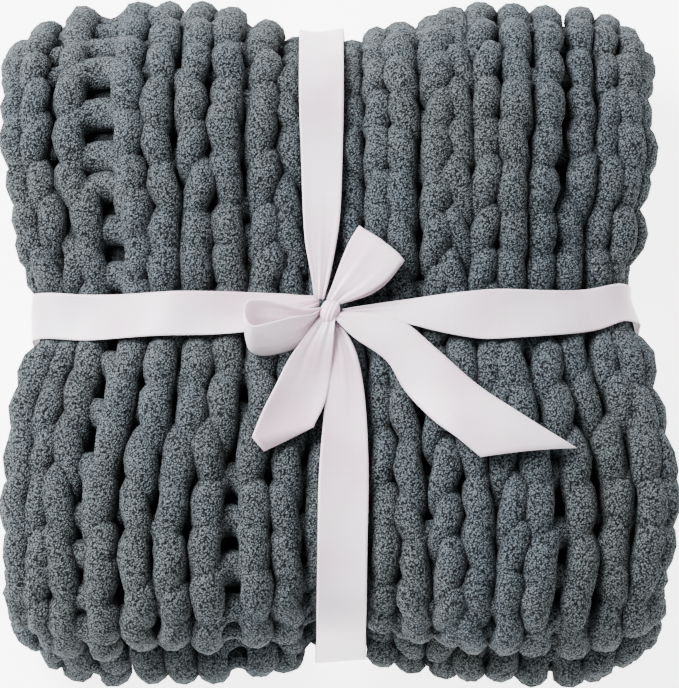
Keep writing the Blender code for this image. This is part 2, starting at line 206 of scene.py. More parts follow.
# ---- the ribbon, round the bundle as in the part
RIBBON_WIDTH = 0.038
RIBBON_LEVEL = 0.0030          # the ribbon's middle over the stack's plain crests
CROSSING_LEVEL = 0.0050        # the same under the bundle, where the other one passes
RIBBON_STEP = 0.006            # between two sections of the ribbon
RIBBON_FACES = 18              # faces across it
BIG_FOLD_STEPS = 24            # sections round the big fold
SMALL_FOLD_STEPS = 10          # round a small fold
CORNER_STEPS = 8               # and round a corner of the bundle's sides
RIBBON_Y_LEFT = 0.0065         # the ribbon across lies this far up the face at the left side
RIBBON_Y_RIGHT = 0.0195        # and at the right side
ARM_START = 0.0085             # where the ribbon's arms come out of the knot
SIDE_PULL = 0.017              # how far the ribbon draws the knit in at the sides
FOLD_PULL = 0.010              # the same at the open end's folds
SIDE_LEVELS = (0.03, 0.12)     # height up the sides over which the arms' own shape begins
CREASE_START = (-0.004, 0.006) # distance from the knot over which a crease gets its depth
CREASE_REACH = 0.030           # from the knot to where a crease has lost most of its depth
CREASES = 2.2                  # creases in the ribbon's width
CREASE_LEAN = 3.0              # how many creases they move sideways in a metre
FINE_CREASES = 4.7             # the same for the finer creases between them
FINE_LEAN = -5.0
FINE_SHARE = 0.6               # the finer ones' depth over that of the others
BILLOW = 0.0018                # height of the ribbon's long soft waves
BILLOW_LENGTH = 0.11
BILLOW_LEAN = 0.4              # share of a wave that it is ahead at the ribbon's right edge
KNOT_X = -0.0063               # the arms' crossing
KNOT_Y = -0.0003
KNOT_PLACE = np.array([KNOT_X, KNOT_Y, HEIGHT])
KNOT_OFFSET = np.array([-0.0006, -0.0012, RIBBON_LEVEL])   # the knot's foot from there
KNOT_HALF = (0.0062, 0.0092, 0.0052)   # half its size across, along and up
KNOT_TILT = radians(-16)
KNOT_AROUND = 48               # points round the knot
KNOT_WIDE = 24                 # sections from its left to its right
PLEATS = 13.0                  # the pleats' turns from its middle to its end, in radians
PLEAT_DEPTH = 0.09             # over the knot's size there
PLEAT_SWAY = 1.2               # how far a pleat leans on its way round, in radians
KNOT_SKEW = 0.0009             # how far the knot's ends are pulled askew

# The ribbon's four arms in millimetres: at distances from the knot, how far the arm's middle
# lies from it sideways, and half the arm's width, which is gathered at the knot.
Arm = namedtuple("Arm", "distance middle half")

UPPER_ARM = (Arm(8, -8.5, 3.4), Arm(24, -7.4, 6.4), Arm(50, -7.2, 11.2), Arm(75, -6.6, 13.6),
             Arm(120, -6.6, 15.2), Arm(170, -7.0, 16.3), Arm(300, -7.4, 16.3))
LOWER_ARM = (Arm(8, 1.5, 2.8), Arm(19, 6.0, 7.2), Arm(36, 9.2, 10.8), Arm(67, 10.3, 14.4),
             Arm(118, 9.4, 17.6), Arm(180, 8.3, 17.7), Arm(300, 7.0, 17.7))
LEFT_ARM = (Arm(8, 7.5, 3.2), Arm(24, 4.0, 7.5), Arm(38, 1.5, 11.3), Arm(75, -1.2, 15.3),
            Arm(150, -1.8, 16.4), Arm(200, 0.8, 17.0), Arm(240, 5.0, 17.0))
RIGHT_ARM = (Arm(8, -2.0, 2.8), Arm(36, 0.0, 6.2), Arm(53, -0.6, 9.6), Arm(73, -2.0, 14.0),
             Arm(98, -2.9, 17.2), Arm(118, -2.4, 18.2), Arm(160, 0.5, 17.3), Arm(200, 6.0, 15.5),
             Arm(230, 14.5, 13.8))
ARM_SHIFT_REACH = 0.085        # from the knot to where the arms lie on the bundle's middle

# The lengthwise ribbon's middle all round, as places along and across the stack.
RIBBON_X = ((-0.256, 0.0007), (-0.118, 0.0030), (-0.060, 0.0035), (-0.010, -0.0040),
            (0.030, -0.0130), (0.256, -0.0137))

# Edges of the bow's pieces in millimetres: right of the knot, up the face, over the ribs.
Edges = namedtuple("Edges", "left right")

LEFT_LOOP = (
    Edges((-5, 1, 10), (-6, -3, 4)),
    Edges((-12, -6, 18), (-12, -13, 4)),
    Edges((-24, -10, 28), (-22, -25, 4)),
    Edges((-37, -14, 33), (-36, -30.5, 4)),
    Edges((-49, -17, 37), (-49, -33, 4)),
    Edges((-56.5, -17, 38), (-57, -31, 5)),
    Edges((-60, -9, 38), (-60.5, -25, 5)),
    Edges((-58.5, -1, 38), (-58, -18, 5)),
    Edges((-49, 1, 35), (-49, -16, 4)),
    Edges((-33, 0, 28), (-33, -13, 4)),
    Edges((-19, -1, 20), (-19, -8, 4)),
    Edges((-8, 2, 12), (-8, -1, 5)),
)
RIGHT_LOOP = (
    Edges((-3, 7, 10), (5, 3, 9)),
    Edges((2, 19, 12), (13, 6, 11)),
    Edges((7, 33, 15), (26, 11, 14)),
    Edges((13, 48, 16), (40, 20, 15)),
    Edges((20, 60, 13), (50, 32, 12)),
    Edges((22, 62, 9), (52, 34, 8)),
    Edges((20, 60, 4.5), (50, 32, 4.5)),
    Edges((14, 48, 3.5), (41, 21, 3.5)),
    Edges((9, 33, 3.5), (29, 12, 3.5)),
    Edges((4, 19, 4.5), (16, 7, 4.5)),
    Edges((0, 8, 6), (7, 4, 6)),
)
LEFT_TAIL = (
    Edges((-7, -4, 9), (3, -7, 9)),
    Edges((-17, -18, 10), (2, -20, 9)),
    Edges((-30, -37, 9), (1, -37, 8)),
    Edges((-40, -58, 7), (-1, -56, 6)),
    Edges((-49, -77, 5.5), (-5, -70, 5)),
    Edges((-56, -95, 5), (-11, -83, 4.5)),
)
LEFT_TAIL_END = Edges((-47.5, -105, 5), (-12, -86, 4.5))    # its slanted end
RIGHT_TAIL = (
    Edges((7, -2, 9), (3, -7, 8)),
    Edges((27, -3, 10), (17, -21, 8)),
    Edges((53, -10, 10), (40, -38, 8)),
    Edges((78, -32, 9), (53, -60, 6)),
    Edges((106, -57, 7), (72, -82, 5)),
    Edges((138, -78, 5.5), (91, -97, 5)),
    Edges((180, -101, 5), (107, -110, 5)),
)

ARM_STEPS = 8                  # steps between two rows of an arm's table
BOW_STEPS = 6                  # and of a loop's or tail's

# ---- the cut sizes of the cloth: each ribbon piece's length
LENGTHWISE_CUT = 1.26
ACROSS_CUT = 1.30
LEFT_LOOP_CUT = 0.131
RIGHT_LOOP_CUT = 0.116
LEFT_TAIL_CUT = 0.097
RIGHT_TAIL_CUT = 0.174

# ---- the materials' shades and scales, and the stage
YARN_SHADE_DARKEST = 0.36            # share of the colour that the painted shade leaves in the outer yarn's gaps
SHEET_SHADE_REACH = 0.032      # reach of the painted shade in the gaps over the inner sheets
SHEET_SHADE_DARKEST = 0.08           # share of the colour that the painted shade leaves there
PATCHES_PER_METRE = 9.0        # soft patches where the yarn is a touch bluer or warmer
GRAIN_PER_METRE = 14.0         # the satin's grain across the ribbon's width
GRAIN_STRETCH = 60.0           # how much closer its lines lie than they are long
TONES_PER_METRE = 16.0         # soft changes of the satin's tone
FLOOR_HALF = 30.0
SKY_COLOUR = "#F4F7FA"
Softbox = namedtuple("Softbox", "name place size colour")
KEY_BOX = Softbox("key_light", (-1.9, 1.3, 2.5), 2.0, "#FBFCFF")
FILL_BOX = Softbox("fill_light", (1.4, -1.2, 1.8), 1.6, "#FFFBF4")


# ---- small tools for meshes and materials

def linear(hex_colour):
    """Linear colour with alpha from an sRGB hex value."""
    value = hex_colour.lstrip("#")
    channels = [int(value[at:at + 2], 16) / 255 for at in (0, 2, 4)]
    return [c / 12.92 if c <= 0.04045 else ((c + 0.055) / 1.055) ** 2.4
            for c in channels] + [1.0]


def add_node(tree, kind, settings=None, inputs=None, links=None):
    """Adds one node: its settings, its sockets' values, and the sockets that feed it."""
    node = tree.nodes.new(kind)
    for name, value in (settings or {}).items():
        setattr(node, name, value)
    for name, value in (inputs or {}).items():
        node.inputs[name].default_value = value
    for name, socket in (links or {}).items():
        tree.links.new(socket, node.inputs[name])
    return node


def new_material(name):
    """Empty node material with its output, ready for a shader."""
    material = bpy.data.materials.new(name)
    material.use_nodes = True
    material.node_tree.nodes.clear()
    output = add_node(material.node_tree, "ShaderNodeOutputMaterial")
    return material, material.node_tree, output


def ramp_stops(node, stops):
    """Sets a colour ramp's stops from (place, hex colour) pairs."""
    elements = node.color_ramp.elements
    while len(elements) < len(stops):
        elements.new(1.0)
    for element, (place, colour) in zip(elements, stops):
        element.position = place
        element.color = linear(colour)


def mesh_object(name, points, faces, material, uvs=None):
    """Smooth mesh object at the origin, from points and faces."""
    mesh = bpy.data.meshes.new(name)
    mesh.from_pydata([tuple(point) for point in points], [], faces)
    if uvs is not None:
        layer = mesh.uv_layers.new(name="UVMap")
        vertex_of_loop = np.empty(len(mesh.loops), dtype=np.int32)
        mesh.loops.foreach_get("vertex_index", vertex_of_loop)
        layer.data.foreach_set("uv", np.asarray(uvs, dtype=np.float32)[vertex_of_loop].ravel())
    mesh.shade_smooth()
    mesh.materials.append(material)
    thing = bpy.data.objects.new(name, mesh)
    bpy.context.scene.collection.objects.link(thing)
    return thing


def tube_faces(rows, around):
    """Faces of a closed tube of rows of points, with a cap at each end."""
    faces = []
    for first in range(0, (rows - 1) * around, around):
        for at in range(around):
            after = (at + 1) % around
            faces.append((first + at, first + after, first + around + after, first + around + at))
    faces.append(tuple(range(around - 1, -1, -1)))
    faces.append(tuple(range((rows - 1) * around, rows * around)))
    return faces


def point_outwards(thing):
    """Turns a closed mesh's faces to the outside."""
    bm = bmesh.new()
    bm.from_mesh(thing.data)
    bmesh.ops.recalc_face_normals(bm, faces=bm.faces)
    bm.to_mesh(thing.data)
    bm.free()


def plain_mesh(thing, name):
    """The evaluated object as a plain mesh object, which takes the first one's place."""
    graph = bpy.context.evaluated_depsgraph_get()
    mesh = bpy.data.meshes.new_from_object(thing.evaluated_get(graph), depsgraph=graph)
    bpy.data.objects.remove(thing, do_unlink=True)
    mesh.name = name
    finished = bpy.data.objects.new(name, mesh)
    bpy.context.scene.collection.objects.link(finished)
    return finished


def joined(name, things):
    """One mesh object of several, which keeps their materials."""
    with bpy.context.temp_override(active_object=things[0], object=things[0],
                                   selected_objects=things, selected_editable_objects=things):
        bpy.ops.object.join()
    things[0].name = name
    things[0].data.name = name
    return things[0]


# ---- the shape of the tied bundle, on arrays of points

def ramp(value, start, end):
    """Smooth step from 0 at start to 1 at end."""
    share = np.clip((value - start) / (end - start), 0.0, 1.0)
    return share * share * (3.0 - 2.0 * share)


def hill(distance, reach):
    """Smooth hill, 1 at its middle and exactly 0 past its reach."""
    share = np.clip(np.abs(distance / reach), 0.0, 1.0)
    return (1.0 - share * share) ** 2


def plateau(distance, flat, reach):
    """1 up to a flat distance and smoothly down to 0 at its reach."""
    return 1.0 - ramp(np.abs(distance), flat, reach)


def ribbon_x(y):
    """Middle of the lengthwise ribbon at a place along the stack."""
    return np.interp(y, *zip(*RIBBON_X))


def ribbon_y(x):
    """Middle of the ribbon across at a place across the stack."""
    return KNOT_Y + np.where(x < 0, RIBBON_Y_LEFT, RIBBON_Y_RIGHT) * (x / HALF_WIDTH) ** 2


def side_reach(x, y):
    """How far the tied bundle reaches to the points' side, at their place along the ribs."""
    left = np.full_like(y, SIDE_REACH[0].left)
    right = np.full_like(y, SIDE_REACH[0].right)
    for low, high in zip(SIDE_REACH, SIDE_REACH[1:]):
        share = ramp(y, low.y, high.y)
        left += (high.left - low.left) * share
        right += (high.right - low.right) * share
    return np.where(x < 0, left, right)


def settle(points):
    """The places in the tied bundle of points of the square stack."""
    x, y, z = np.asarray(points, dtype=float).T
    side, outer, rim = (ramp(np.abs(x), start * HALF_WIDTH, HALF_WIDTH)
                        for start in (SIDE_FROM, OUTER_FROM, RIM_FROM))
    end = ramp(np.abs(y), END_FROM * HALF_LENGTH, HALF_LENGTH)
    level = z / HEIGHT
    lengthwise = hill(x - ribbon_x(y), TUCK_REACH)
    tuck = 1.0 - (1.0 - lengthwise) * (1.0 - hill(y - ribbon_y(x), TUCK_REACH))
    settled_z = z * (1.0 - SIDE_DROP * side) * (1.0 - END_DROP * end) + RIM_LIFT * rim
    settled_z += tuck * (BOTTOM_TUCK * (1.0 - level) - TOP_TUCK * level)
    inward_x = (HALF_WIDTH - side_reach(x, y)) * outer + CORNER_PINCH * rim * end
    back_reach = np.where(x < ribbon_x(y), BACK_TUCK_LEFT, BACK_TUCK_RIGHT)
    back = BACK_TUCK * end * hill(x - ribbon_x(y), back_reach)
    front = FRONT_TUCK * end * hill(x - ribbon_x(y), FRONT_TUCK_REACH)
    inward_y = np.where(y > 0, back, front) + CORNER_CUT * rim * end
    return np.stack([x - np.sign(x) * inward_x, y - np.sign(y) * inward_y, settled_z], axis=1)


def stretch_number(along):
    """Number of the stretch of the strip's way on which a distance lies."""
    return np.clip(np.searchsorted(WAY_STARTS, along, side="right") - 1, 0, len(STRIP_WAY) - 1)


def strip_middle(along):
    """Middle line of the strip at distances along it: y, z and the outward normal's y, z."""
    number = stretch_number(along)
    columns = zip(*((stretch.y, stretch.z, stretch.side, stretch.radius)
                    for stretch in STRIP_WAY))
    y, z, side, radius = (np.array(column)[number] for column in columns)
    since = along - np.array(WAY_STARTS)[number]
    turning = radius > 0.0
    angle = np.divide(since, radius, out=np.zeros_like(since), where=turning)
    normal_y = side * np.sin(angle)
    normal_z = side * np.cos(angle)
    return (y + np.where(turning, radius * normal_y, side * since), z + radius * normal_z,
            normal_y, normal_z)


def strip_reach(along, side):
    """The strip's reach to its left or right side at distances along it."""
    values = [getattr(stretch, side) for stretch in STRIP_WAY[:1] + STRIP_WAY]
    return np.interp(along, WAY_STARTS, values)


def on_strip(across, along, out):
    """Points of the tied bundle from strip coordinates: across, along and out of its middle."""
    y, z, normal_y, normal_z = strip_middle(along)
    under_long = plateau(across - ribbon_x(y), RIBBON_WIDTH / 2, PRESS_REACH)
    under_cross = plateau(y - ribbon_y(across), RIBBON_WIDTH / 2, PRESS_REACH)
    fold = np.abs(normal_y)
    out = out - RIBBON_PRESS * np.maximum(under_long, under_cross)
    out = out + FOLD_RISE * fold * (1.0 - under_long) - FOLD_PULL * fold * (y < 0) * under_long
    reach = np.where(across < 0, strip_reach(along, "left"), strip_reach(along, "right"))
    flat = reach - STRIP / 2 - SIDE_PULL * under_cross
    over = np.maximum(np.abs(across) - flat, 0.0) / RIM_BEND
    out = out * (1.0 - RIM_THIN * np.clip(over, 0.0, 1.0))
    x = np.sign(across) * (np.minimum(np.abs(across), flat) + out * np.sin(over))
    rise = out * np.cos(over)
    return settle(np.stack([x, y + normal_y * rise, z + normal_z * rise], axis=1))


# ---- materials

def chenille(settings, name, shade_reach, darkest):
    """Chenille yarn: polyester microfibre pile on a thread, cut short and slightly curled.
    It gives a matte surface of small tufts, with painted highlights on their tips and painted
    shade between them. An ambient occlusion node paints shade into the colour in gaps narrower
    than the given reach, down to the darkest share. Real tufts are finer, but would not show."""
    material, tree, output = new_material(name)
    place = add_node(tree, "ShaderNodeTexCoord")
    tuft = settings.tuft_size
    twist = add_node(tree, "ShaderNodeTexNoise", inputs={"Scale": 0.7 / tuft, "Detail": 1.0},
                     links={"Vector": place.outputs["Object"]})
    swirl = add_node(tree, "ShaderNodeVectorMath", {"operation": "MULTIPLY_ADD"},
                     {1: (1.6 * tuft,) * 3},
                     {0: twist.outputs["Color"], 2: place.outputs["Object"]})
    tufts = add_node(tree, "ShaderNodeTexVoronoi", inputs={"Scale": 1.0 / tuft},
                     links={"Vector": swirl.outputs["Vector"]})
    curls = add_node(tree, "ShaderNodeMath", {"operation": "SUBTRACT"}, {0: 1.0},
                     {1: tufts.outputs["Distance"]})
    lumps = add_node(tree, "ShaderNodeTexNoise", inputs={"Scale": 0.25 / tuft, "Detail": 2.0},
                     links={"Vector": place.outputs["Object"]})
    # The tufts' pattern, with painted shade at their roots and painted highlights on their tips.
    shades = add_node(tree, "ShaderNodeValToRGB", links={"Fac": curls.outputs["Value"]})
    ramp_stops(shades, [(0.31, settings.root_shade_colour), (0.50, settings.yarn_colour),
                        (0.79, settings.tip_highlight_colour)])
    patches = add_node(tree, "ShaderNodeTexNoise",
                       inputs={"Scale": PATCHES_PER_METRE, "Detail": 2.0},
                       links={"Vector": place.outputs["Object"]})
    tints = add_node(tree, "ShaderNodeValToRGB", links={"Fac": patches.outputs["Fac"]})
    ramp_stops(tints, [(0.35, "#EAF1F4"), (0.5, "#F4F4F3"), (0.65, "#F2F0E9")])
    tinted = add_node(tree, "ShaderNodeMix", {"data_type": "RGBA", "blend_type": "MULTIPLY"},
                      {"Factor": 1.0},
                      {"A": shades.outputs["Color"], "B": tints.outputs["Color"]})
    # Painted shade: an ambient occlusion node darkens the colour in gaps and creases, down to the
    # darkest share.
    crevices = add_node(tree, "ShaderNodeAmbientOcclusion", {"samples": 6},
                        {"Distance": shade_reach})
    painted_shade_share = add_node(tree, "ShaderNodeMapRange", inputs={"From Min": 0.22, "From Max": 0.88,
                                                          "To Min": darkest, "To Max": 1.0},
                      links={"Value": crevices.outputs["AO"]})
    with_painted_shade = add_node(tree, "ShaderNodeMix", {"data_type": "RGBA", "blend_type": "MULTIPLY"},
                    {"Factor": 1.0},
                    {"A": tinted.outputs["Result"], "B": painted_shade_share.outputs["Result"]})
    height = add_node(tree, "ShaderNodeMath", {"operation": "ADD"},
                      links={0: curls.outputs["Value"], 1: lumps.outputs["Fac"]})
    bump = add_node(tree, "ShaderNodeBump", inputs={"Strength": 1.0, "Distance": tuft},
                    links={"Height": height.outputs["Value"]})
    shader = add_node(tree, "ShaderNodeBsdfPrincipled",
                      inputs={"Roughness": 0.95, "Sheen Weight": 0.06, "Sheen Roughness": 0.6,
                              "Specular IOR Level": 0.15},
                      links={"Base Color": with_painted_shade.outputs["Result"],
                             "Normal": bump.outputs["Normal"]})
    shader.inputs["Sheen Tint"].default_value = linear("#B9C6CB")
    tree.links.new(shader.outputs["BSDF"], output.inputs["Surface"])
    return material


def satin(settings):
    """Polyester satin ribbon: long floats of bright yarn over a fine ground. It gives a soft
    broad gloss along the ribbon and a faint grain across it. The real grain is about 0.1 mm
    wide, and is drawn ten times as coarse to show at all."""
    material, tree, output = new_material("satin_ribbon")
    place = add_node(tree, "ShaderNodeTexCoord")
    stretch = add_node(tree, "ShaderNodeMapping", inputs={"Scale": (1.0, GRAIN_STRETCH, 1.0)},
                       links={"Vector": place.outputs["UV"]})
    floats = add_node(tree, "ShaderNodeTexNoise",
                      inputs={"Scale": GRAIN_PER_METRE, "Detail": 3.0},
                      links={"Vector": stretch.outputs["Vector"]})
    waves = add_node(tree, "ShaderNodeTexNoise",
                     inputs={"Scale": TONES_PER_METRE, "Detail": 1.0},
                     links={"Vector": place.outputs["Object"]})
    mixed = add_node(tree, "ShaderNodeMix", inputs={"Factor": 0.85},
                     links={"A": floats.outputs["Fac"], "B": waves.outputs["Fac"]})
    tones = add_node(tree, "ShaderNodeValToRGB", links={"Fac": mixed.outputs["Result"]})
    ramp_stops(tones, [(0.38, settings.ribbon_shade), (0.60, settings.ribbon_colour)])
    bump = add_node(tree, "ShaderNodeBump", inputs={"Strength": 0.15, "Distance": 0.0002},
                    links={"Height": floats.outputs["Fac"]})
    shader = add_node(tree, "ShaderNodeBsdfPrincipled",
                      inputs={"Roughness": 0.38, "Sheen Weight": 0.3, "Sheen Roughness": 0.4,
                              "Specular IOR Level": 0.5, "Subsurface Weight": 0.8,
                              "Subsurface Radius": (1.0, 1.0, 1.0), "Subsurface Scale": 0.002},
                      links={"Base Color": tones.outputs["Color"],
                             "Normal": bump.outputs["Normal"]})
    tree.links.new(shader.outputs["BSDF"], output.inputs["Surface"])
    return material


def plain_floor(settings):
    """Matte painted studio floor, without gloss, and lit so that it looks nearly white."""
    material, tree, output = new_material("matte_floor")
    shader = add_node(tree, "ShaderNodeBsdfPrincipled",
                      inputs={"Base Color": linear(settings.floor_colour), "Roughness": 1.0,
                              "Specular IOR Level": 0.0,
                              "Emission Strength": settings.floor_light})
    tree.links.new(shader.outputs["BSDF"], output.inputs["Surface"])
    return material


# ---- the knit

def course_height(along):
    """Height of a row of stitches at a distance along the strip's middle line, larger at the
    open end. Round a fold the rows keep their height on the outside, so that they are closer
    together on the middle line."""
    y = strip_middle(np.array([along]))[0]
    share = float(ramp(y, FRONT_STATION, BACK_STATION)[0])
    height = OPEN_END_COURSE + (BIG_FOLD_COURSE - OPEN_END_COURSE) * share
    radius = STRIP_WAY[stretch_number(along)].radius
    return height * radius / (radius + FABRIC_OUT) if radius else height


def leg_places(y):
    """Across-strip places of all legs at a place along the stack, as rows of left and right."""
    front, middle, back = (np.array([getattr(column, station) for column in COLUMNS]) * MM
                           for station in Column._fields)
    places = front + (middle - front) * ramp(y, FRONT_STATION, MIDDLE_STATION)
    return places + (back - middle) * ramp(y, MIDDLE_STATION, BACK_STATION)


# A row of stitches: its place along the strip and its height, its legs' places across, its
# middle over the strip's, and the sections in a stitch.
Course = namedtuple("Course", "along height places middle steps")


def stitch_line(places, index, steps, slant):
    """One stitch of a course, from one sinker loop to the next by way of the left leg, the
    head and the right leg: across, share of the loop's height, and rise out of the fabric.
    The legs come to the front late, so their round shoulders cover the next ones' roots."""
    left, right = places[index]
    width = right - left
    before = (places[index - 1][1] + left) / 2 if index else left - width / 2
    after = (places[index + 1][0] + right) / 2 if index + 1 < len(places) else right + width / 2
    turn = np.linspace(-pi, pi, steps, endpoint=False)
    across = np.interp(turn, [-pi, -pi / 2, 0.0, pi / 2, pi],
                       [before, left, (left + right) / 2, right, after])
    from_root = (1.0 - np.abs(turn) / pi) ** SHOULDER_SKEW
    return across + slant * np.sin(2 * turn), np.cos(turn), -np.cos(2 * pi * from_root)


def stitch_part(settings, course, index, slant, drifts, shift, size):
    """One stitch of a course in strip coordinates: across, along and out, and its radii."""
    across, head, out = stitch_line(course.places, index, course.steps, slant)
    place = np.arange(course.steps) / course.steps
    from_head = np.abs(2.0 * place - 1.0)
    free = 1.0 - from_head ** 4
    last, this, following = drifts
    drift = np.interp(place, (0.0, 0.25, 0.75, 1.0),
                      ((last + this) / 2, this, this, (this + following) / 2))
    along = course.along + drift + settings.loop_reach * course.height * head
    along = along + shift[0] * free
    rise = course.middle + settings.leg_rise * out + RISE_SHARE * shift[2] * free
    left, right = course.places[index]
    room = np.clip((right - left) / PLAIN_LEGS, *ROOM_RANGE)
    clasp = hill(from_head - ROOT_CLASP, ROOT_REACH)
    clasp = clasp + HEAD_SHARE * hill(from_head - HEAD_CLASP, HEAD_REACH)
    radii = settings.yarn_radius * size * room * FULLNESS
    radii = radii * (1.0 - settings.clasp_squeeze * clasp)
    return across + SIDE_SHARE * shift[1] * free, along, rise, radii


def knit_lines(settings):
    """Centre lines of all courses as lists of (points, radii), a continuous yarn each."""
    rng = np.random.default_rng(settings.seed)
    count = len(COLUMNS)
    slants = settings.leg_slant * rng.uniform(*SLANT_RANGE, count)
    drifts = np.pad(rng.normal(0.0, COLUMN_DRIFT * settings.unevenness, count), 1)
    whole = [range(count)]
    at_edges = [range(EDGE_COLUMNS), range(count - EDGE_COLUMNS, count)]
    lines = []
    along = FIRST_COURSE
    while along < WAY_LENGTH - LAST_MARGIN:
        height = course_height(along)
        inner = along < UPPER_START - height or along > INNER_START + height
        seen = (UPPER_START - SEEN_MARGIN < along < BIG_START + SEEN_TURN * BIG_TURN
                or LOWER_START - SEEN_MARGIN < along < INNER_START)
        outer = ramp(along, UPPER_START - INNER_SLOPE, UPPER_START)
        outer *= 1.0 - ramp(along, INNER_START, INNER_START + INNER_SLOPE)
        course = Course(along, height, leg_places(strip_middle(np.array([along]))[0][0]),
                        settings.knit_depth - INNER_SINK * (1.0 - outer),
                        settings.face_steps if seen else settings.under_steps)
        shifts = rng.normal(0.0, settings.unevenness, (count, 3))
        sizes = rng.normal(1.0, SIZE_SPREAD, count)
        tilts = rng.normal(1.0, TILT_SPREAD, count)
        for group in at_edges if inner else whole:
            parts = [stitch_part(settings, course, index, slants[index] * tilts[index],
                                 drifts[index:index + 3], shifts[index], sizes[index])
                     for index in group]
            across, distance, rise, radii = (np.concatenate(part) for part in zip(*parts))
            lines.append((on_strip(across, distance, rise), radii))
        along += height
    return lines


def yarn_tree():
    """Geometry Nodes tree: centre lines with a radius become lumpy tubes of yarn."""
    tree = bpy.data.node_groups.new("Yarn", "GeometryNodeTree")
    face = tree.interface
    face.new_socket("Geometry", in_out="INPUT", socket_type="NodeSocketGeometry")
    for name, kind in (("Sides", "Int"), ("Smoothing", "Int"), ("Lump Height", "Float"),
                       ("Lump Size", "Float"), ("Seed", "Float"), ("Material", "Material")):
        face.new_socket(name, in_out="INPUT", socket_type="NodeSocket" + kind)
    face.new_socket("Geometry", in_out="OUTPUT", socket_type="NodeSocketGeometry")
    given = add_node(tree, "NodeGroupInput")
    curves = add_node(tree, "GeometryNodeMeshToCurve", links={"Mesh": given.outputs["Geometry"]})
    thick = add_node(tree, "GeometryNodeInputNamedAttribute", {"data_type": "FLOAT"},
                     {"Name": "yarn_radius"})
    circle = add_node(tree, "GeometryNodeCurvePrimitiveCircle", inputs={"Radius": 1.0},
                      links={"Resolution": given.outputs["Sides"]})
    tubes = add_node(tree, "GeometryNodeCurveToMesh", inputs={"Fill Caps": True},
                     links={"Curve": curves.outputs["Curve"],
                            "Profile Curve": circle.outputs["Curve"],
                            "Scale": thick.outputs["Attribute"]})
    round_tubes = add_node(tree, "GeometryNodeSubdivisionSurface",
                           links={"Mesh": tubes.outputs["Mesh"],
                                  "Level": given.outputs["Smoothing"]})
    scale = add_node(tree, "ShaderNodeMath", {"operation": "DIVIDE"}, {0: 1.0},
                     {1: given.outputs["Lump Size"]})
    noise = add_node(tree, "ShaderNodeTexNoise", {"noise_dimensions": "4D"}, {"Detail": 1.0},
                     {"Scale": scale.outputs["Value"], "W": given.outputs["Seed"]})
    centred = add_node(tree, "ShaderNodeMath", {"operation": "SUBTRACT"}, {1: 0.5},
                       {0: noise.outputs["Fac"]})
    height = add_node(tree, "ShaderNodeMath", {"operation": "MULTIPLY"},
                      links={0: centred.outputs["Value"], 1: given.outputs["Lump Height"]})
    normal = add_node(tree, "GeometryNodeInputNormal")
    offset = add_node(tree, "ShaderNodeVectorMath", {"operation": "SCALE"},
                      links={0: normal.outputs["Normal"], "Scale": height.outputs["Value"]})
    lumpy = add_node(tree, "GeometryNodeSetPosition",
                     links={"Geometry": round_tubes.outputs["Mesh"],
                            "Offset": offset.outputs["Vector"]})
    smooth = add_node(tree, "GeometryNodeSetShadeSmooth",
                      links={"Geometry": lumpy.outputs["Geometry"]})
    real = add_node(tree, "GeometryNodeRealizeInstances",
                    links={"Geometry": smooth.outputs["Geometry"]})
    dressed = add_node(tree, "GeometryNodeSetMaterial",
                       links={"Geometry": real.outputs["Geometry"],
                              "Material": given.outputs["Material"]})
    add_node(tree, "NodeGroupOutput", links={"Geometry": dressed.outputs["Geometry"]})
    return tree


def socket_id(tree, name):
    """Identifier of a tree's named input, by which a modifier sets it."""
    for item in tree.interface.items_tree:
        if item.in_out == "INPUT" and item.name == name:
            return item.identifier
    raise KeyError(name)


def tubes_on_lines(name, lines, settings, material):
    """Mesh piece of yarn along centre lines, made by the yarn tree."""
    points = np.concatenate([line for line, _ in lines])
    edges, first = [], 0
    for line, _ in lines:
        edges += [(first + at, first + at + 1) for at in range(len(line) - 1)]
        first += len(line)
    mesh = bpy.data.meshes.new(name + "_lines")
    mesh.from_pydata([tuple(point) for point in points], edges, [])
    thick = mesh.attributes.new("yarn_radius", "FLOAT", "POINT")
    shrink = (6.0 + 2.0 * cos(2 * pi / settings.yarn_sides)) / 8.0    # by the tree's smoothing
    radii = np.concatenate([radii for _, radii in lines]) / shrink
    thick.data.foreach_set("value", radii.astype(np.float32))
    guide = bpy.data.objects.new(name + "_lines", mesh)
    bpy.context.scene.collection.objects.link(guide)
    tree = yarn_tree()
    modifier = guide.modifiers.new("Yarn", "NODES")
    modifier.node_group = tree
    values = {"Sides": settings.yarn_sides, "Smoothing": 1, "Lump Height": settings.lump_height,
              "Lump Size": settings.lump_size, "Seed": float(settings.seed),
              "Material": material}
    for input_name, value in values.items():
        modifier[socket_id(tree, input_name)] = value
    return plain_mesh(guide, name)


def rest_on_floor(thing, lowest):
    """Presses what would lie under the floor flat on it."""
    mesh = thing.data
    points = np.empty(len(mesh.vertices) * 3)
    mesh.vertices.foreach_get("co", points)
    points = points.reshape(-1, 3)
    points[:, 2] = np.maximum(points[:, 2], lowest)
    mesh.vertices.foreach_set("co", points.ravel())
    mesh.update()


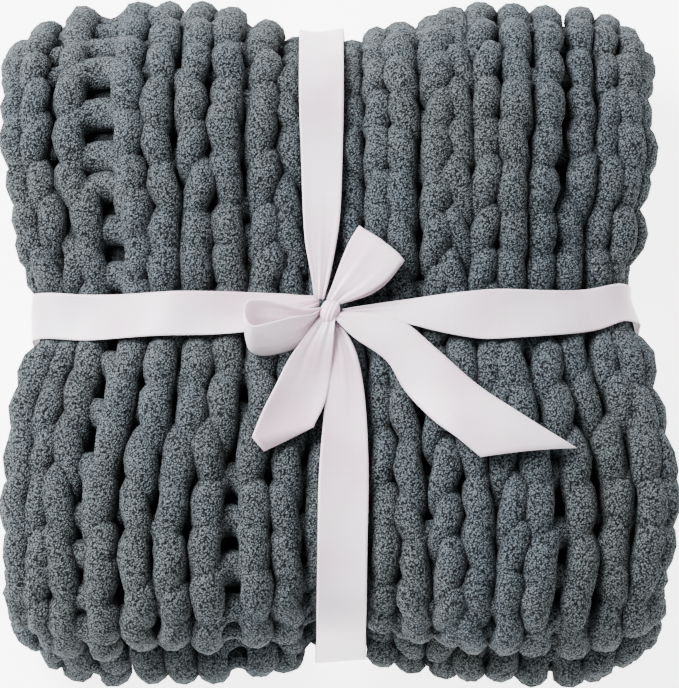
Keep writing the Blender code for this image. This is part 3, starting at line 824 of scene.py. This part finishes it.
def inner_sheets(material):
    """The sheets under the outer stitches: the folded strip, kept inside its yarn."""
    middle = (SHEET_TOP - STRIP / 2) / 2
    half = (SHEET_TOP + STRIP / 2) / 2
    turns = (pi / 4, pi / 2, 3 * pi / 4)
    rings = []
    for along in np.linspace(-SHEET_MARGIN, WAY_LENGTH + SHEET_MARGIN, SHEET_SECTIONS):
        place = np.array([along])
        left, right = (strip_reach(place, side)[0] - STRIP / 2 for side in ("left", "right"))
        y, z, normal_y, normal_z = (value[0] for value in strip_middle(place))
        across = np.linspace(-left, right, SHEET_STEPS)
        outline = [(x, SHEET_TOP) for x in across]
        outline += [(right + SHEET_RIM * sin(turn), middle + half * cos(turn)) for turn in turns]
        outline += [(x, -STRIP / 2) for x in across[::-3]]
        outline += [(-left - SHEET_RIM * sin(turn), middle + half * cos(turn))
                    for turn in turns[::-1]]
        rings.append(settle([(x, y + normal_y * out, z + normal_z * out) for x, out in outline]))
    faces = tube_faces(len(rings), len(rings[0]))
    thing = mesh_object("inner_sheets", np.concatenate(rings), faces, material)
    point_outwards(thing)
    return thing


# ---- the ribbon

def curve_through(points, steps):
    """Points of a smooth curve through the given ones, steps to each span."""
    points = np.asarray(points, dtype=float)
    padded = np.vstack([2 * points[0] - points[1], points, 2 * points[-1] - points[-2]])
    t = np.linspace(0.0, 1.0, steps, endpoint=False)[:, None]
    curve = []
    for before, start, end, after in zip(padded, padded[1:], padded[2:], padded[3:]):
        curve.append(0.5 * (2 * start + (end - before) * t
                            + (2 * before - 5 * start + 4 * end - after) * t ** 2
                            + (3 * start - before - 3 * end + after) * t ** 3))
    return np.vstack(curve + [points[-1:]])


def arm_at(table, distance):
    """An arm's middle and half width at a distance from the knot, in metres."""
    distances, middles, halves = curve_through(table, ARM_STEPS).T * MM
    return np.interp(distance, distances, middles), np.interp(distance, distances, halves)


def arc(centre_a, centre_b, radius, start, end, steps):
    """Points of an arc in a plane, angles in radians from the first axis."""
    return [(centre_a + radius * cos(angle), centre_b + radius * sin(angle))
            for angle in np.linspace(start, end, steps + 1)]


def straight_run(start, end, level):
    """Points of a straight run at one level, without its end."""
    steps = ceil(abs(end - start) / RIBBON_STEP)
    return [(start + (end - start) * step / steps, level) for step in range(steps)]


def arm_section(table, distance, knot_place, way_place, level):
    """Middle and half width of a section of the ribbon: the arm's on the face, and the plain
    ribbon's where it has come down the bundle."""
    middle, half = arm_at(table, distance)
    share = float(ramp(level, *SIDE_LEVELS))
    plain = RIBBON_WIDTH / 2
    return (way_place + (knot_place + middle - way_place) * share,
            plain + (half - plain) * share)


def lengthwise_way():
    """Edges of the ribbon from the knot over the big fold, underneath and up the open end."""
    top, bottom = HEIGHT + RIBBON_LEVEL, -RIBBON_LEVEL
    small = SMALL_FOLD + FACE_OUT + RIBBON_LEVEL
    slant = LOWER_STEP / (2 * PITCH)
    way = straight_run(KNOT_Y + ARM_START, BIG_Y, top)
    way += arc(BIG_Y, MIDDLE_Z, MIDDLE_Z + RIBBON_LEVEL, pi / 2, -pi / 2, BIG_FOLD_STEPS)
    way += straight_run(BIG_Y, LOWER_Y, bottom)[1:]
    way += arc(LOWER_Y, MIDDLE_Z - PITCH, small, 1.5 * pi, pi - slant, SMALL_FOLD_STEPS)
    way += arc(UPPER_Y, MIDDLE_Z + PITCH, small, pi - slant, pi / 2, SMALL_FOLD_STEPS)
    way += straight_run(UPPER_Y, KNOT_Y - ARM_START, top)[1:] + [(KNOT_Y - ARM_START, top)]
    lefts, rights = [], []
    for y, z in way:
        table = UPPER_ARM if y > KNOT_Y else LOWER_ARM
        middle, half = arm_section(table, abs(y - KNOT_Y), KNOT_X, ribbon_x(y), z)
        pulled = y + FOLD_PULL * float(ramp(-y, -LOWER_Y, -LOWER_Y + small))
        lefts.append((middle - half, pulled, z))
        rights.append((middle + half, pulled, z))
    return np.array(lefts), np.array(rights)


def across_way():
    """Edges of the ribbon from the knot to the right, under the bundle and up to the left."""
    side = HALF_WIDTH - FACE_OUT - SIDE_PULL
    top, bottom = HEIGHT + RIBBON_LEVEL, -CROSSING_LEVEL
    wide, narrow = FACE_OUT + CROSSING_LEVEL, FACE_OUT + RIBBON_LEVEL
    way = straight_run(ARM_START, side, top)
    way += arc(side, HEIGHT - FACE_OUT, narrow, pi / 2, 0.0, CORNER_STEPS)
    way += arc(side, FACE_OUT, wide, 0.0, -pi / 2, CORNER_STEPS)
    way += straight_run(side, -side, bottom)[1:]
    way += arc(-side, FACE_OUT, wide, 1.5 * pi, pi, CORNER_STEPS)
    way += arc(-side, HEIGHT - FACE_OUT, narrow, pi, pi / 2, CORNER_STEPS)
    way += straight_run(-side, -ARM_START, top)[1:] + [(-ARM_START, top)]
    lefts, rights = [], []
    for x, z in way:
        table = LEFT_ARM if x < 0 else RIGHT_ARM
        middle, half = arm_section(table, abs(x), KNOT_Y, float(ribbon_y(x)), z)
        near = 1 - float(ramp(abs(x), ARM_START, ARM_SHIFT_REACH)) if z > HEIGHT else 0.0
        lefts.append((x + KNOT_X * near, middle + half, z))
        rights.append((x + KNOT_X * near, middle - half, z))
    return np.array(lefts), np.array(rights)


def bow_way(table, end=None):
    """Edges of a loop or a tail of the bow, through the rows of its table and, for a tail, on
    to its slanted end."""
    edges = []
    for side in Edges._fields:
        curve = curve_through([getattr(row, side) for row in table], BOW_STEPS)
        if end:
            curve = np.vstack([curve, getattr(end, side)])
        edges.append(KNOT_PLACE + MM * curve)
    return edges


def ribbon_sheet(name, way, settings, material, creases, phase, crown=0.0, two_ends=True):
    """Thin satin sheet between its two edges, with creases that run out from the knot, a
    higher middle where it has a crown, and long waves."""
    lefts, rights = way
    share = np.linspace(0.0, 1.0, RIBBON_FACES + 1)
    middles = (lefts + rights) / 2
    steps = np.linalg.norm(np.diff(middles, axis=0), axis=1)
    distance = np.concatenate([[0.0], np.cumsum(steps)])
    from_knot = np.minimum(distance, distance[-1] - distance) if two_ends else distance
    normal = np.cross(rights - lefts, np.gradient(middles, axis=0))
    normal /= np.linalg.norm(normal, axis=1, keepdims=True)
    places = lefts[:, None] + (rights - lefts)[:, None] * share[None, :, None]
    depth = creases * np.exp(-from_knot / CREASE_REACH) * ramp(from_knot, *CREASE_START)
    turns = CREASES * share[None] + CREASE_LEAN * from_knot[:, None]
    fine_turns = FINE_CREASES * share[None] + FINE_LEAN * from_knot[:, None]
    folds = np.sin(2 * pi * turns + phase) + FINE_SHARE * np.sin(2 * pi * fine_turns + 2 * phase)
    waves = distance[:, None] / BILLOW_LENGTH + BILLOW_LEAN * share[None]
    rise = depth[:, None] * folds + crown * 4 * share * (1 - share)
    rise = rise + BILLOW * np.sin(2 * pi * waves + phase)
    points = settle((places + normal[:, None] * rise[..., None]).reshape(-1, 3))
    rows, columns = len(lefts), RIBBON_FACES + 1
    faces = [(at, at + columns, at + columns + 1, at + 1)
             for first in range(0, (rows - 1) * columns, columns)
             for at in range(first, first + RIBBON_FACES)]
    uvs = np.stack([np.tile(share * RIBBON_WIDTH, rows), np.repeat(distance, columns)], axis=1)
    thing = mesh_object(name, points, faces, material, uvs)
    thick = thing.modifiers.new("Satin", "SOLIDIFY")
    thick.thickness = settings.thickness
    thick.offset = 0.0
    return thing


def ribbon_knot(material):
    """The knot: the gathered ribbon wrapped over the arms' crossing, with its pleats."""
    half_x, half_y, half_z = KNOT_HALF
    points = []
    for step in range(1, KNOT_WIDE):
        v = -cos(pi * step / KNOT_WIDE)
        size = (1.0 - abs(v) ** 2.6) ** 0.45       # fuller in the middle than an ellipse
        for turn in range(KNOT_AROUND):
            angle = 2 * pi * turn / KNOT_AROUND
            pleat = 1.0 + PLEAT_DEPTH * sin(PLEATS * v + PLEAT_SWAY * sin(angle + 0.6)) * size
            x = half_x * v + KNOT_SKEW * sin(2 * angle)
            y = half_y * size * pleat * sin(angle)
            z = half_z * size * pleat * cos(angle)
            points.append((x * cos(KNOT_TILT) - y * sin(KNOT_TILT),
                           x * sin(KNOT_TILT) + y * cos(KNOT_TILT), z))
    centre = KNOT_PLACE + KNOT_OFFSET + (0.0, 0.0, half_z)
    uvs = [(p % KNOT_AROUND * MM, p // KNOT_AROUND * MM) for p in range(len(points))]
    thing = mesh_object("knot", settle(centre[None]) + np.array(points),
                        tube_faces(KNOT_WIDE - 1, KNOT_AROUND), material, uvs)
    point_outwards(thing)
    return thing


# ---- settings, hung on the scene

class KnitSettings(bpy.types.PropertyGroup):
    """Sizes and colours of the chenille knit."""
    yarn_radius: FloatProperty(name="Yarn radius", description="Half the yarn's thickness",
                               default=0.0128, unit="LENGTH")
    yarn_sides: IntProperty(name="Yarn sides", description="Faces round the yarn, before it "
                            "is smoothed", default=5)
    face_steps: IntProperty(name="Face steps", description="Sections in a stitch that faces up",
                            default=10)
    under_steps: IntProperty(name="Underside steps", description="Sections in other stitches",
                             default=6)
    leg_slant: FloatProperty(name="Leg slant", description="Sideways swing of a stitch's legs",
                             default=0.0104, unit="LENGTH")
    leg_rise: FloatProperty(name="Leg rise", description="Legs over the fabric's middle",
                            default=0.0098, unit="LENGTH")
    loop_reach: FloatProperty(name="Loop reach", description="Half a loop's height in rows",
                              default=0.97)
    knit_depth: FloatProperty(name="Knit depth", description="Fabric's middle over the strip's",
                              default=0.0064, unit="LENGTH")
    clasp_squeeze: FloatProperty(name="Clasp squeeze", description="Share of the thickness that "
                                 "the yarn loses where it is clasped", default=0.40)
    unevenness: FloatProperty(name="Unevenness", description="Spread of the stitches' places",
                              default=0.0030, unit="LENGTH")
    lump_height: FloatProperty(name="Lump height", description="Relief of the yarn's pile",
                               default=0.0042, unit="LENGTH")
    lump_size: FloatProperty(name="Lump size", description="Width of the pile's lumps",
                             default=0.009, unit="LENGTH")
    tuft_size: FloatProperty(name="Tuft size", description="Width of one tuft of the pile",
                             default=0.0014, unit="LENGTH")
    seed: IntProperty(name="Seed", description="Start of the random unevenness", default=7)
    yarn_colour: StringProperty(name="Yarn colour", description="Tufts' middle tone, sRGB hex",
                                default="#383E41")
    # Painted highlight on the tufts' tips.
    tip_highlight_colour: StringProperty(name="Tuft tips", description="Tufts' light tone, sRGB hex",
                                 default="#696F72")
    # Painted shade at the tufts' roots.
    root_shade_colour: StringProperty(name="Tuft roots", description="Tufts' dark tone, sRGB hex",
                                default="#040404")


class RibbonSettings(bpy.types.PropertyGroup):
    """Sizes and colours of the satin ribbon."""
    thickness: FloatProperty(name="Thickness", description="Thickness of the satin",
                             default=0.0005, unit="LENGTH")
    arm_creases: FloatProperty(name="Arm creases", description="Depth of the creases where the "
                               "arms enter the knot", default=0.0007, unit="LENGTH")
    bow_creases: FloatProperty(name="Bow creases", description="Depth of the creases in the "
                               "loops and tails", default=0.0009, unit="LENGTH")
    ribbon_colour: StringProperty(name="Ribbon colour", description="Light tone, sRGB hex",
                                  default="#F8E0EC")
    ribbon_shade: StringProperty(name="Ribbon shade", description="Grain's darker tone, sRGB hex",
                                 default="#DEBCCB")


class StageSettings(bpy.types.PropertyGroup):
    """Floor, light and camera."""
    floor_colour: StringProperty(name="Floor colour", description="Floor's paint, sRGB hex",
                                 default="#F6F6F6")
    floor_light: FloatProperty(name="Floor light", description="How strongly the floor is lit",
                               default=4.6)
    elevation: FloatProperty(name="Elevation", description="Camera's height angle",
                             default=radians(78.0), subtype="ANGLE")
    distance: FloatProperty(name="Distance", description="Camera to the bundle's middle",
                            default=2.6, unit="LENGTH")
    view_width: FloatProperty(name="View width", description="Width seen at that distance",
                              default=0.504, unit="LENGTH")
    aim: FloatVectorProperty(name="Aim", description="Point at the picture's middle",
                             default=(0.0, -0.0085, 0.10), subtype="XYZ", unit="LENGTH")
    sky: FloatProperty(name="Sky", description="Strength of the even light", default=0.62)
    key: FloatProperty(name="Key light", description="Power of the upper light", default=558.0,
                       unit="POWER")
    fill: FloatProperty(name="Fill light", description="Power of the lower light", default=10.0,
                        unit="POWER")


def dress(piece, slot, *nodes):
    """Lets a piece ride on the bundle's body and stand for its nodes; the slot is not used."""
    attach(piece, BODY)
    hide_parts(*nodes)


class BLANKET_OT_knit(bpy.types.Operator):
    """Knit the blanket's outer stitches and lay the inner sheets under them"""
    bl_idname = "blanket.knit"
    bl_label = "Knit"

    def execute(self, context):
        settings = context.scene.knit_settings
        yarn = chenille(settings, "chenille_yarn", settings.yarn_radius, YARN_SHADE_DARKEST)
        # The inner sheets take a shaded copy of the yarn, with painted shade over a wider reach
        # and down to a darker share.
        shaded_sheet_yarn = chenille(settings, "chenille_inner_sheets_painted_shade", SHEET_SHADE_REACH,
                             SHEET_SHADE_DARKEST)
        knit = tubes_on_lines("stitches", knit_lines(settings), settings, yarn)
        rest_on_floor(knit, FLOOR_TOUCH)
        sheets = inner_sheets(shaded_sheet_yarn)
        rest_on_floor(sheets, SHEET_TOUCH)
        knit = joined("folded_knit", [knit, sheets])
        point_outwards(knit)
        dress(knit, "knit", "blanket")
        return {"FINISHED"}


class BLANKET_OT_ribbon(bpy.types.Operator):
    """Lay the satin ribbon round the bundle in both directions"""
    bl_idname = "blanket.ribbon"
    bl_label = "Ribbon"

    def execute(self, context):
        settings = context.scene.ribbon_settings
        cloth = satin(settings)
        for name, way, length, phase, node in (
                ("lengthwise_band", lengthwise_way(), LENGTHWISE_CUT, 0.4, "ribbon_lengthwise"),
                ("across_band", across_way(), ACROSS_CUT, 2.1, "ribbon_across")):
            band = ribbon_sheet(name, way, settings, cloth, settings.arm_creases, phase)
            dress(band, "satin", node)
        return {"FINISHED"}


class BLANKET_OT_bow(bpy.types.Operator):
    """Tie the bow: its two loops, its two tails and the knot"""
    bl_idname = "blanket.bow"
    bl_label = "Bow"

    def execute(self, context):
        settings = context.scene.ribbon_settings
        cloth = bpy.data.materials["satin_ribbon"]
        creases = settings.bow_creases
        pieces = (
            ("left_loop", bow_way(LEFT_LOOP), LEFT_LOOP_CUT, 0.0, True, 0.0,
             "ribbon_loop_left"),
            ("right_loop", bow_way(RIGHT_LOOP), RIGHT_LOOP_CUT, 1.7, True, 0.0015,
             "ribbon_loop_right"),
            ("left_tail", bow_way(LEFT_TAIL, LEFT_TAIL_END), LEFT_TAIL_CUT, 2.6, False, 0.0012,
             "ribbon_tail_left"),
            ("right_tail", bow_way(RIGHT_TAIL), RIGHT_TAIL_CUT, 4.0, False, 0.0012,
             "ribbon_tail_right"),
        )
        for name, way, length, phase, two_ends, crown, node in pieces:
            piece = ribbon_sheet(name, way, settings, cloth, creases, phase, crown, two_ends)
            dress(piece, "satin", node)
        knot = ribbon_knot(cloth)
        dress(knot, "satin", "ribbon_knot")
        return {"FINISHED"}


class BLANKET_OT_stage(bpy.types.Operator):
    """Set the plain floor, the soft light and the camera"""
    bl_idname = "blanket.stage"
    bl_label = "Stage"

    def execute(self, context):
        settings = context.scene.stage_settings
        corners = [(x * FLOOR_HALF, y * FLOOR_HALF, 0.0)
                   for x, y in ((-1, -1), (1, -1), (1, 1), (-1, 1))]
        floor = mesh_object("floor", corners, [(0, 1, 2, 3)], plain_floor(settings))
        world = bpy.data.worlds.new("studio")
        context.scene.world = world
        world.use_nodes = True
        background = world.node_tree.nodes["Background"]
        background.inputs["Color"].default_value = linear(SKY_COLOUR)
        background.inputs["Strength"].default_value = settings.sky
        self.add_light(KEY_BOX, settings.key)
        self.add_light(FILL_BOX, settings.fill)
        self.add_camera(context, settings)
        return {"FINISHED"}

    def add_light(self, box, power):
        """Square softbox that points at the bundle."""
        light = bpy.data.lights.new(box.name, "AREA")
        light.size = box.size
        light.energy = power
        light.color = linear(box.colour)[:3]
        thing = bpy.data.objects.new(box.name, light)
        thing.location = box.place
        thing.rotation_euler = (-Vector(box.place)).to_track_quat("-Z", "Y").to_euler()
        bpy.context.scene.collection.objects.link(thing)

    def add_camera(self, context, settings):
        """Camera over the face, a little towards the open end."""
        camera = bpy.data.cameras.new("camera")
        camera.sensor_fit = "HORIZONTAL"
        camera.sensor_width = 36.0
        camera.lens = camera.sensor_width * settings.distance / settings.view_width
        camera.clip_end = 100.0
        thing = bpy.data.objects.new("camera", camera)
        back = Vector((0.0, -cos(settings.elevation), sin(settings.elevation)))
        thing.location = Vector(settings.aim) + back * settings.distance
        thing.rotation_euler = (pi / 2 - settings.elevation, 0.0, 0.0)
        context.scene.collection.objects.link(thing)
        context.scene.camera = thing


class BLANKET_PT_panel(bpy.types.Panel):
    """Lists the blanket's steps"""
    bl_label = "Chunky Knit Blanket"
    bl_idname = "BLANKET_PT_panel"
    bl_space_type = "VIEW_3D"
    bl_region_type = "UI"
    bl_category = "Blanket"

    def draw(self, context):
        for operator in OPERATORS:
            self.layout.operator(operator.bl_idname)


GROUPS = (("knit_settings", KnitSettings), ("ribbon_settings", RibbonSettings),
          ("stage_settings", StageSettings))
OPERATORS = (BLANKET_OT_knit, BLANKET_OT_ribbon, BLANKET_OT_bow, BLANKET_OT_stage)


def register():
    """Registers the classes and hangs the settings on the scene."""
    for name, group in GROUPS:
        bpy.utils.register_class(group)
        setattr(bpy.types.Scene, name, PointerProperty(type=group))
    for thing in OPERATORS + (BLANKET_PT_panel,):
        bpy.utils.register_class(thing)


def unregister():
    """Takes the classes and settings away again."""
    for thing in (BLANKET_PT_panel,) + OPERATORS[::-1]:
        bpy.utils.unregister_class(thing)
    for name, group in GROUPS[::-1]:
        delattr(bpy.types.Scene, name)
        bpy.utils.unregister_class(group)


def main():
    """Builds the whole scene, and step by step."""
    register()
    bpy.ops.blanket.knit()
    bpy.ops.blanket.ribbon()
    bpy.ops.blanket.bow()
    bpy.ops.blanket.stage()


if __name__ == "__main__":
    main()
